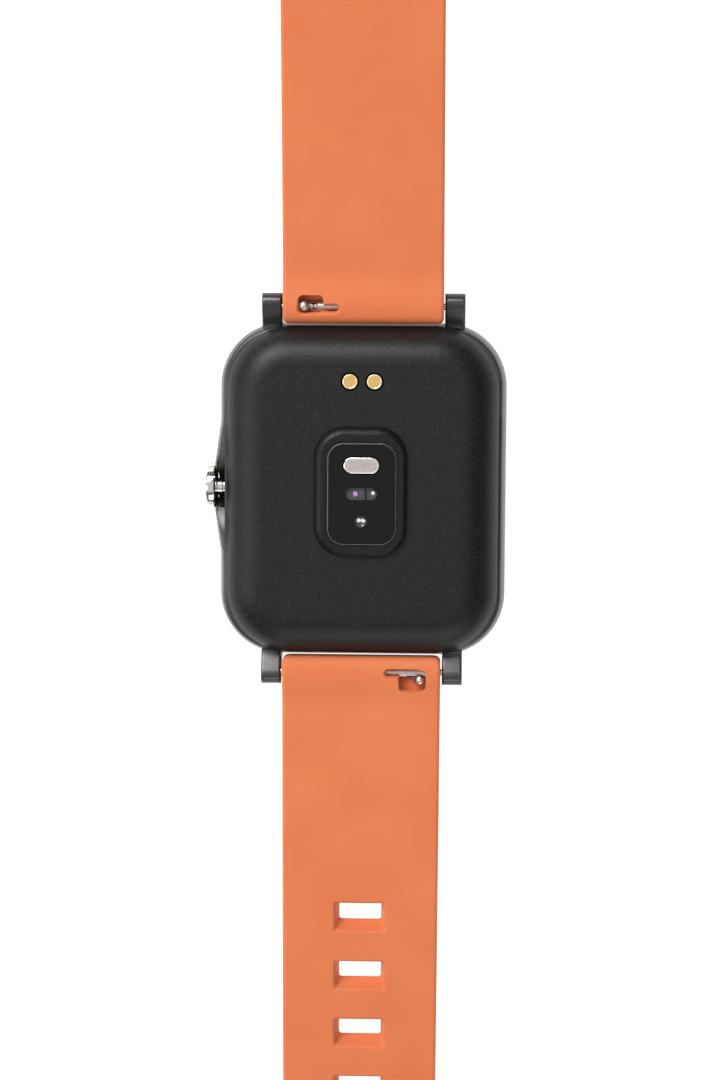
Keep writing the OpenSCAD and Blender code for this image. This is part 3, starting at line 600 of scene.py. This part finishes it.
def strapPiece(name, half, s0, s1, zone, replaced):
    # one closed length of strap, laid along its curve
    stations = []
    start = s0
    if s0 == 0:
        for d, thick, narrow in endStations(half, strap["hub"]):
            stations.append((d, widthAt(half, d) - 2 * narrow, thick, 0))
        start = stations[-1][0]
    last = s1
    if s1 == strap["upperPin"] and half == "upper":
        last = s1 - 4.8
    for s in evenly(start, last, strap["step"])[1 if stations else 0:]:
        stations.append((s, widthAt(half, s), strap["thickness"], 0))
    if last != s1:
        for d, thick, narrow in reversed(endStations(half, strap["pinHub"])[:-1]):
            stations.append((s1 - d, widthAt(half, s1) - 2 * narrow, thick, 0))
    piece = loft(name, stations, strap["edge"])
    if s0 == 0:
        cutRelease(piece, half)
    if last != s1:
        combine(piece, rod("pin bore", strap["pinBore"], through, (0, s1, 0), "X"))
        slot = stack("tongue slot", (4.2, 10.0, 1.2), roundedLevels(-4, 4, 0.1))
        combine(piece, place(slot, Matrix.Translation((0, (s1 + 1.6) * mm, 0))))
    if half == "lower":
        for k in range(strap["holeCount"]):
            s = strap["holeFirst"] + k * strap["holePitch"]
            if s0 < s < s1:
                combine(piece, makeHoleCutter(s))
    return settleStrap(piece, half, zone, replaced)


def settleStrap(piece, half, zone, replaced):
    bendStrap(piece, half)
    sides = [strapFrame(half, s).translation for s in zone]
    finish(piece, silicone, None, replaced)
    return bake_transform(piece)


def strapTip(name, s0, zone, replaced):
    # last length of the long half, with its round tip
    length = strap["lowerEnd"] - s0
    width = widthAt("lower", s0)
    top = strap["thickness"] / 2
    outline = (width, 2 * length, width / 2 - 0.02)
    piece = stack(name, outline, roundedLevels(-top, top, strap["edge"]), arc=20)
    place(piece, Matrix.Translation((0, s0 * mm, 0)))
    take(piece)
    bpy.ops.object.mode_set(mode="EDIT")
    sliceAt((0, s0 * mm, 0), alongY, clear_inner=True, use_fill=True)
    for s in evenly(s0, strap["lowerEnd"] - strap["tipPlain"], strap["step"])[1:]:
        sliceAt((0, s * mm, 0), alongY)
    bpy.ops.object.mode_set(mode="OBJECT")
    for k in range(strap["holeCount"]):
        s = strap["holeFirst"] + k * strap["holePitch"]
        if s > s0:
            combine(piece, makeHoleCutter(s))
    return settleStrap(piece, "lower", zone, replaced)


strapPiece("upperStrapRoot", "upper", 0, 33, (13, 31),
           ("upper_strap_1",))
strapPiece("upperStrapBuckleEnd", "upper", 33, 76, (35, 53),
           ("upper_strap_2", "upper_strap_3"))
strapPiece("lowerStrapRoot", "lower", 0, 35.2, (20, 35.2),
           ("lower_strap_1",))
strapPiece("lowerStrapHoles1", "lower", 35.2, 58, (42.8, 58),
           ("lower_strap_2",))
strapPiece("lowerStrapHoles2", "lower", 58, 80.8, (65.6, 80.8),
           ("lower_strap_3",))
strapTip("lowerStrapTip", 80.8, (88.4, 103.6),
         ("lower_strap_4", "lower_strap_5"))
print("strap made")


# keepers

keeperShape = {"wall": 1.1, "length": 5.0, "corner": 1.5, "edge": 0.35, "bottom": -4.2,
               "fixedAt": 70, "freeAt": 60, "fixedWidthAt": 72, "freeWidthAt": 44, "slack": 0.3}


def makeKeeper(name, body, node, s, innerWidth, top):
    # silicone loop round both halves of the strap
    height = top - keeperShape["bottom"]
    wall, length = keeperShape["wall"], keeperShape["length"]
    outer = (innerWidth + 2 * wall, height + 2 * wall, keeperShape["corner"])
    piece = stack(name, outer, roundedLevels(-length / 2, length / 2, keeperShape["edge"]), arc=8)
    ease = 0.25
    mouth = [(-length / 2 - 0.3, ease * 2), (-length / 2 + ease, 0.0), (length / 2 - ease, 0.0),
             (length / 2 + 0.3, ease * 2)]
    inner = stack("keeper mouth", (innerWidth, height, 0.5), mouth, arc=5)
    combine(piece, inner)
    middle = Matrix.Translation((0, 0, (top + keeperShape["bottom"]) / 2 * mm))
    place(piece, strapFrame("upper", s) @ middle @ Matrix.Rotation(-math.pi / 2, 4, "X"))
    return finish(piece, silicone, body, (node,))


makeKeeper("fixedKeeper", "upper_strap_3", "fixed_keeper", keeperShape["fixedAt"],
           widthAt("upper", keeperShape["fixedWidthAt"]), strap["thickness"] / 2)
makeKeeper("freeKeeper", "free_keeper", "free_keeper", keeperShape["freeAt"],
           widthAt("upper", keeperShape["freeWidthAt"]) + keeperShape["slack"],
           (strap["thickness"] + keeperShape["slack"]) / 2)


# buckle

buckle = {"inner": 19.9, "arm": 1.6, "height": 2.0, "reach": 10.4, "tongue": 3.2, "edge": 0.55,
          "bossRadius": 1.4}


def makeBuckleFrame():
    # one U-shaped bent and tumbled bar, with bosses on the pin
    inner, arm, height, reach = buckle["inner"], buckle["arm"], buckle["height"], buckle["reach"]
    half = height / 2
    outerLength = 2 * (reach + 1)
    piece = stack("buckleFrame", (inner + 2 * arm, outerLength, 3.2),
                  roundedLevels(-half, half, buckle["edge"]), arc=10)
    ease = 0.35
    mouth = [(-half - 0.3, 2 * ease), (-half + ease, 0.0), (half - ease, 0.0), (half + 0.3, 2 * ease)]
    combine(piece, stack("buckle mouth", (inner, 2 * (reach - 1), 1.6), mouth, arc=8))
    take(piece)
    bpy.ops.object.mode_set(mode="EDIT")
    sliceAt((0, 0, 0), alongY, clear_inner=True, use_fill=True)
    bpy.ops.object.mode_set(mode="OBJECT")
    for side in (-1, 1):
        boss = rod("boss", buckle["bossRadius"], arm, (side * (inner + arm) / 2, 0, 0), "X", end=0.2)
        combine(piece, boss, "UNION")
    combine(piece, rod("pin bore", strap["pinBore"], inner + 2.2, axis="X"))
    notch = stack("tongue notch", (buckle["tongue"] + 0.3, 6.0, 0.3),
                  [(-half - 1, 0.0), (-half + 0.45, 0.0)])
    combine(piece, place(notch, Matrix.Translation((0, (reach + 1) * mm, 0))))
    place(piece, strapFrame("upper", strap["upperPin"]))
    return finish(piece, buckleSteel, "buckle_frame", ("buckle_frame",))


def makeTongue():
    # flat prong with an eye round the pin and a turned-down tip
    reach = buckle["reach"]
    stations = [(0.6, 3.2, 1.5, -0.55), (1.6, 3.2, 1.35, -0.75), (3.5, 3.1, 1.2, -0.95),
                (6.0, 3.0, 1.2, -1.15), (reach - 2.4, 2.9, 1.25, -1.4), (reach - 0.6, 2.8, 1.2, -1.36),
                (reach + 0.7, 2.7, 1.1, -1.32), (reach + 1.3, 2.4, 0.8, -1.3),
                (reach + 1.6, 1.9, 0.45, -1.28)]
    piece = loft("buckleTongue", stations, 0.35)
    combine(piece, rod("eye", 1.3, buckle["tongue"], axis="X", end=0.2), "UNION")
    combine(piece, rod("eye bore", strap["pinBore"], 10, axis="X"))
    place(piece, strapFrame("upper", strap["upperPin"]))
    return finish(piece, buckleSteel, "buckle_tongue", ("buckle_tongue",))


def makeReleaseRod(half):
    # the sliding pin seen through the slot of the bar's tube
    piece = rod(half + "ReleaseRod", 0.44, 2.6, (release["knob"] + 2.1, 0, 0), "X", 24)
    bar = Matrix.Translation(strapFrame(half, 0).translation)
    place(piece, bar @ halfTurn(signOf(half)))
    return finish(piece, satinSteel, half + "_release")


makeBuckleFrame()
makeTongue()
for half in ("upper", "lower"):
    makeReleaseRod(half)
print("keepers and buckle made")


# aluminium band with its lugs and crown guards

band = {
    "size": (35.6, 41.4, 7.8), "bulgeZ": 3.7, "bulgeRadius": 7.6, "rim": 0.22, "wall": 2.0, "ledge": 1.4,
    "glassInset": 0.75, "guardOut": 0.78, "guardPeak": 2.9, "guardFoot": 8.3,
    "recess": (2.85, -17.1), "scoopRadius": 9.4, "scoopZ": 14.5, "scoopX": (-18.2, -17.1),
    "scoopSlant": 0.3, "swellReach": 9.2, "swellStep": 0.46, "swellFrom": -15,
}
lug = {"root": 1.9, "gap": 20.1, "width": 2.5, "edge": 0.34, "boreRadius": 0.45, "boreDepth": 1.2}


def guardSwell(y):
    # how far the side swells towards the crown, seen from the back
    d = abs(y - crownMiddle.y)
    ramp = min(max((band["guardFoot"] - d) / (band["guardFoot"] - band["guardPeak"]), 0), 1)
    soft = ramp if ramp > 0.12 else ramp ** 2 / 0.24 + 0.06 * min(ramp / 0.12, 1)
    return band["guardOut"] * soft


def makeLug(side, end):
    # one hooked lug: a side outline drawn as a bar along Y, then a round tip joined to it
    rootY = band["size"][1] / 2 - lug["root"]
    x = side * (lug["gap"] + lug["width"]) / 2
    # (place along Y, underside, upper side): a shallow slope up to the tip, then round it
    rows = [(rootY, 1.9, 6.1), (20.3, 2.2, 6.12), (20.75, 2.44, 6.28), (21.7, 3.23, 6.67), (22.5, 3.9, 7.0),
            (22.85, 4.2, 7.11), (23.15, 4.46, 7.16), (23.45, 4.72, 7.12), (23.7, 4.93, 7.01),
            (23.95, 5.17, 6.8), (24.12, 5.34, 6.58), (24.25, 5.56, 6.3), (24.32, 5.72, 6.1)]
    stations = [(y, lug["width"], high - low, (high + low) / 2) for y, low, high in rows]
    piece = loft("lug", stations, lug["edge"], arc=3)
    return place(piece, halfTurn(end) @ Matrix.Translation((x * mm, 0, 0)))


def makeBand():
    size, rim = band["size"], band["rim"]

    def lean(z):
        return math.sqrt(band["bulgeRadius"] ** 2 - (z - band["bulgeZ"]) ** 2) - band["bulgeRadius"]
    levels = [(bandLow, lean(bandLow) - rim), (bandLow + rim * 0.3, lean(bandLow) - rim * 0.7)]
    levels += [(z, lean(z)) for z in evenly(bandLow + rim, bandHigh - rim, 0.5)]
    levels += [(bandHigh - rim * 0.3, lean(bandHigh) - rim * 0.3), (bandHigh, lean(bandHigh) - rim)]
    piece = stack("caseBand", size, levels, arc=20)
    take(piece)
    bpy.ops.object.mode_set(mode="EDIT")
    # cuts across the side for the guards' swell to bend at
    for y in evenly(-band["swellReach"], band["swellReach"], band["swellStep"]):
        sliceAt((0, (crownMiddle.y + y) * mm, 0), alongY)
    bpy.ops.object.mode_set(mode="OBJECT")
    move(piece, lambda p: (p.x - guardSwell(p.y) if p.x < band["swellFrom"] else p.x, p.y, p.z))
    for end in (-1, 1):
        for side in (-1, 1):
            combine(piece, makeLug(side, end), "UNION")
    wall, inset = band["wall"], band["glassInset"]
    combine(piece, stack("pocket", (size[0] - 2 * wall, size[1] - 2 * wall, size[2] - wall),
                         [(-1, 0.0), (bandHigh - 0.15, 0.0), (bandHigh + 1, 1.15)], arc=16))
    combine(piece, stack("glass seat", (size[0] - 2 * inset, size[1] - 2 * inset, size[2] - inset),
                         [(-1, 0.0), (band["ledge"], 0.0)], arc=16))
    # scoop behind the crown, then the round recess that the cap stands over
    x0, x1 = band["scoopX"]
    spot = ((x0 + x1) / 2, crownMiddle.y, band["scoopZ"])
    scoop = rod("scoop", band["scoopRadius"], x1 - x0, spot, "X", 128)
    take(scoop)
    bpy.ops.object.mode_set(mode="EDIT")
    for side in (-1, 1):
        corner = Vector((x0, crownMiddle.y + side * band["guardPeak"], 0)) * mm
        sliceAt(corner, (-1, side * band["scoopSlant"], 0), clear_outer=True, use_fill=True)
    bpy.ops.object.mode_set(mode="OBJECT")
    combine(piece, scoop)
    recess, floorX = band["recess"]
    combine(piece, rod("recess", recess, 6, (floorX - 3, crownMiddle.y, crownMiddle.z), "X", 64))
    combine(piece, rod("tube seat", 1.9, 10, (-15, crownMiddle.y, crownMiddle.z), "X"))
    for end in (-1, 1):
        for side in (-1, 1):
            depth = lug["boreDepth"]
            spot = (side * (lug["gap"] / 2 + depth / 2 - 0.3), end * barMiddle.y, barMiddle.z)
            combine(piece, rod("bar bore", lug["boreRadius"], depth + 0.6, spot, "X", 24))
    return finish(piece, anodised, "case", ("case_frame",), 28)


makeBand()
print("band made")


# crown

crown = {"cap": (-19.55, -18.3), "radius": 2.67, "rim": 0.32, "flutes": 9, "flute": (0.11, 0.09, 0.86),
         "collar": (-17.42, 1.07), "stem": (-12.6, 1.0)}


def makeCrown():
    # turned cap with fine flutes, on a collar and a stem; the flutes stop short of the outer rim
    outer, inner = crown["cap"]
    spot = Vector((0, crownMiddle.y, crownMiddle.z))
    piece = rod("crownCap", crown["radius"], inner - outer, ((outer + inner) / 2, spot.y, spot.z), "X", 96,
                end=crown["rim"])
    across, deep, long = crown["flute"]
    for i in range(crown["flutes"]):
        clear()
        bpy.ops.mesh.primitive_cube_add(size=mm)
        flute = bpy.context.object
        flute.scale = (long + 0.4, across, deep * 2)
        bpy.ops.object.transform_apply(location=True, rotation=True, scale=True)
        turn = Matrix.Rotation(2 * math.pi * i / crown["flutes"], 4, "X")
        away = Matrix.Translation(((inner + 0.2 - long / 2) * mm, 0, crown["radius"] * mm))
        upright = Matrix.Rotation(math.pi / 2, 4, "X")
        place(flute, Matrix.Translation(spot * mm) @ turn @ upright @ away)
        combine(piece, flute)
    for end, radius in (crown["collar"], crown["stem"]):
        middle = ((end + inner - 0.1) / 2, spot.y, spot.z)
        combine(piece, rod("stem", radius, end - inner + 0.1, middle, "X", 48, end=0.15), "UNION")
    return finish(piece, polishedSteel, "crown", ("crown",), 30)


makeCrown()
print("crown made")


# sensor: bezel, printed glass with its windows, electrode and optics

sensor = {"bezel": (11.4, 15.9, 3.7), "footLean": (-0.2, 0.1), "lean": (0.05, -0.2),
          "window": (8.5, 12.5, 2.0), "electrodeY": 3.3,
          "opticsY": -0.2, "roundY": -3.6}


def leanBack(p):
    # the frame leans: its foot is shifted one way and its top, with the glass, the other
    rise = min(max((p.z - coverTop) / 0.9, 0), 1)
    x = p.x + sensor["footLean"][0] * (1 - rise) + sensor["lean"][0] * rise
    y = p.y + sensor["footLean"][1] * (1 - rise) + sensor["lean"][1] * rise
    return x, y, p.z


def withGlass(p):
    return p.x + sensor["lean"][0], p.y + sensor["lean"][1], p.z


def makeBezel():
    top = coverTop + 0.9
    # steep foot, a rounded shoulder, a fine chamfer, then a flat rim and a sunk step round the glass
    rises = [(-0.35, 0.0), (0.08, 0.0), (0.32, -0.07), (0.52, -0.16), (0.66, -0.27), (0.77, -0.42),
             (0.84, -0.56)]
    levels = [(coverTop + rise, out) for rise, out in rises] + [(top - 0.05, -0.57), (top, -0.66)]
    piece = stack("sensorBezel", sensor["bezel"], levels, arc=14)
    move(piece, leanBack)
    width, length, corner = sensor["window"]
    for size, low in ((0.5, top - 0.13), (0.06, coverTop - 1)):
        seat = (width + size, length + size, corner + size / 2)
        combine(piece, move(stack("glass seat", seat, [(low, 0.0), (top + 1, 0.0)], arc=14), withGlass))
    return finish(piece, bezelPlastic, "case", ("sensor_bezel",), 25)


# lighter grey for the glass's rounded rim: a painted highlight standing in for the hairline reflection along
# its edge
paintedEdgeHighlight = makeDull("glass edge with painted highlight", "434345", "5C5C5E", 0.3, 0.3)
brightSteel = makeMetal("bright-rolled steel rim", "EDE9E6", "F6F3F0", 0.12, 1.0, 0.0005, 0.05)
brightGold = makeMetal("bright gold rim", "FBE3AE", "FFEFC6", 0.16, 0.5, 0.001, 0.05)


def edgeMaterial(piece, material, above, slope):
    # gives the sloping faces of a piece's upper rim a material of their own: a brighter metal on the
    # electrode and contacts, a painted highlight on the window glass
    piece.data.materials.append(material)
    for face in piece.data.polygons:
        if face.center.z / mm > above and slope[0] < face.normal.z < slope[1]:
            face.material_index = 1
    return piece


def pillShape(width, height):
    return (width, height, height / 2 - 0.01)


def makeWindow():
    top = windowHigh.z
    levels = roundedLevels(windowLow.z, top, 0.2, 5, foot=False)
    piece = move(stack("sensorWindow", sensor["window"], levels, arc=14), withGlass)
    cuts = [(0, sensor["electrodeY"], pillShape(4.62, 2.22), windowLow.z - 1),
            (-0.02, sensor["opticsY"], pillShape(3.85, 1.5), top - 0.5),
            (-0.05, sensor["roundY"], pillShape(1.5, 1.5), top - 0.5)]
    for x, y, shape, floor in cuts:
        cutter = stack("window cutter", shape, [(floor, 0.0), (top + 0.3, 0.0)], arc=12)
        combine(piece, place(cutter, Matrix.Translation((x * mm, y * mm, 0))))
    finish(piece, windowGlass, "case", ("sensor_window",), 25)
    # the glass's rounded upper rim gets the lighter grey, a painted highlight
    return edgeMaterial(piece, paintedEdgeHighlight, top - 0.18, (0.45, 0.93))


def makeElectrode():
    # stamped steel pad with a polished rim round its satin face
    low, high = boxOf("skin_electrode")
    top = high.z
    shape = pillShape(4.4, 2.0)
    levels = [(low.z, 0.0), (top - 0.1, 0.0), (top - 0.05, -0.03), (top - 0.02, -0.08), (top, -0.2),
              (top - 0.01, -0.24)]
    piece = stack("skinElectrode", shape, levels, arc=14)
    place(piece, Matrix.Translation((0, sensor["electrodeY"] * mm, 0)))
    finish(piece, satinSteel, "case", ("skin_electrode",), 30)
    return edgeMaterial(piece, brightSteel, top - 0.2, (0.05, 0.9995))


def makeContact(name, node, middle):
    # gold-plated pin with a turned rim
    low, high = boxOf(node)
    piece = stack(name, pillShape(1.9, 1.9), [(low.z, 0.0), (high.z - 0.1, 0.0), (high.z - 0.03, -0.05),
                                              (high.z, -0.17), (high.z - 0.02, -0.21)], arc=12)
    place(piece, Matrix.Translation((middle.x * mm, middle.y * mm, 0)))
    finish(piece, goldPlate, "case", (node,), 30)
    return edgeMaterial(piece, brightGold, high.z - 0.12, (0.05, 0.9995))


printedGrey = makeDull("smoked grey window ink", "39383A", "464447", 0.15, 0.8)
purpleDie = makeDull("infrared emitter die", "8A6496", "B893C4", 0.2, 0.2)
paleDie = makeDull("detector die", "B9C4BE", "DDE5DF", 0.18, 0.2)


def chip(name, size, place3, material, spin=0.0):
    # a small die with eased corners
    width, length, height = size
    outline = (width, length, min(width, length) * 0.2)
    piece = stack(name, outline, roundedLevels(0, height, 0.04, 2, foot=False), 3)
    matrix = Matrix.Translation(Vector(place3) * mm) @ Matrix.Rotation(math.radians(spin), 4, "Z")
    place(piece, matrix)
    return finish(piece, material, "case", angle=30)


def makeOptics():
    floor = windowHigh.z - 0.5
    opticsY, roundY = sensor["opticsY"], sensor["roundY"]
    for name, shape, x, y in (("opticsFloor", pillShape(3.8, 1.45), -0.02, opticsY),
                              ("greenFloor", pillShape(1.46, 1.46), -0.05, roundY)):
        piece = stack(name, shape, [(floor + 0.01, 0.0), (floor + 0.08, 0.0)], arc=12)
        place(piece, Matrix.Translation((x * mm, y * mm, 0)))
        finish(piece, printedGrey, "case")
    high = floor + 0.08
    chip("infraredDie", (0.55, 0.6, 0.16), (-0.72, opticsY, high), purpleDie, 12)
    chip("opticsDivider", (0.16, 1.4, 0.3), (0.5, opticsY, high), cad["sensor_baffle"].data.materials[0])
    chip("detectorDie", (0.4, 0.42, 0.14), (1.45, opticsY + 0.12, high), paleDie, 20)
    chip("greenDie1", (0.44, 0.48, 0.16), (-0.3, roundY + 0.2, high), paleDie, 8)
    chip("greenDie2", (0.56, 0.42, 0.16), (0.22, roundY + 0.14, high), paleDie, -28)
    chip("redDie", (0.2, 0.24, 0.14), (0.18, roundY - 0.45, high), paleDie)


makeBezel()
makeWindow()
makeElectrode()
for side, middle in zip(("left", "right"), contactMiddles):
    makeContact("contact" + side.capitalize(), "charge_contact_" + side, middle)
makeOptics()
print("sensor made")


# camera, floor and light

view = {"distance": 300, "aim": (-0.969, -6.727), "tilt": (4.88, -1.98, -0.53), "lens": 78.88}


def makeCamera():
    tiltX, tiltY, tiltZ = (math.radians(a) for a in view["tilt"])
    turned = Matrix.Rotation(tiltZ, 4, "Z") @ Matrix.Rotation(tiltY, 4, "Y") @ Matrix.Rotation(tiltX, 4, "X")
    lens = bpy.data.cameras.new("camera")
    lens.lens = view["lens"]
    lens.clip_start = 0.01
    camera = bpy.data.objects.new("camera", lens)
    bpy.context.scene.collection.objects.link(camera)
    spot = (view["aim"][0] * mm, view["aim"][1] * mm, view["distance"] * mm)
    camera.matrix_world = turned.inverted() @ Matrix.Translation(spot)
    bpy.context.scene.camera = camera


studio = {"world": 0.2, "paper": "A8A8A8", "paperGlow": 0.93}


def makeStudio():
    clear()
    bpy.ops.mesh.primitive_plane_add(size=4, location=(0, 0, -0.0004))
    paper = bpy.context.object
    paper.name = "paper"
    bpy.ops.object.transform_apply(location=True, rotation=True, scale=True)
    material, _, _ = newMaterial("white paper", {
        "Base Color": hexColour(studio["paper"]), "Roughness": 0.95, "Specular IOR Level": 0.1,
        "Emission Color": (1, 1, 1, 1), "Emission Strength": studio["paperGlow"]})
    paper.data.materials.append(material)
    world = bpy.data.worlds.new("studio")
    bpy.context.scene.world = world
    world.use_nodes = True
    world.node_tree.nodes["Background"].inputs["Color"].default_value = (1, 1, 1, 1)
    world.node_tree.nodes["Background"].inputs["Strength"].default_value = studio["world"]


def softbox(name, spot, aim, size, power):
    light = bpy.data.lights.new(name, "AREA")
    light.shape = "RECTANGLE"
    light.size, light.size_y = size
    light.energy = power
    lamp = bpy.data.objects.new(name, light)
    bpy.context.scene.collection.objects.link(lamp)
    lamp.location = spot
    lamp.rotation_euler = (Vector(aim) - Vector(spot)).to_track_quat("-Z", "Y").to_euler()


makeCamera()
makeStudio()
softbox("key", (-0.22, 0.41, 0.46), (0, 0, 0), (0.45, 0.24), 4.5)
softbox("side", (-0.5, -0.05, 0.4), (0, 0, 0), (0.3, 0.5), 1.2)
softbox("overhead", (0, 0, 0.55), (0, 0, 0), (0.6, 0.6), 0.72)
softbox("fill", (0.1, -0.5, 0.3), (0, 0, 0), (0.5, 0.3), 1.1)
bpy.context.scene.view_settings.view_transform = "Standard"
print("studio made")
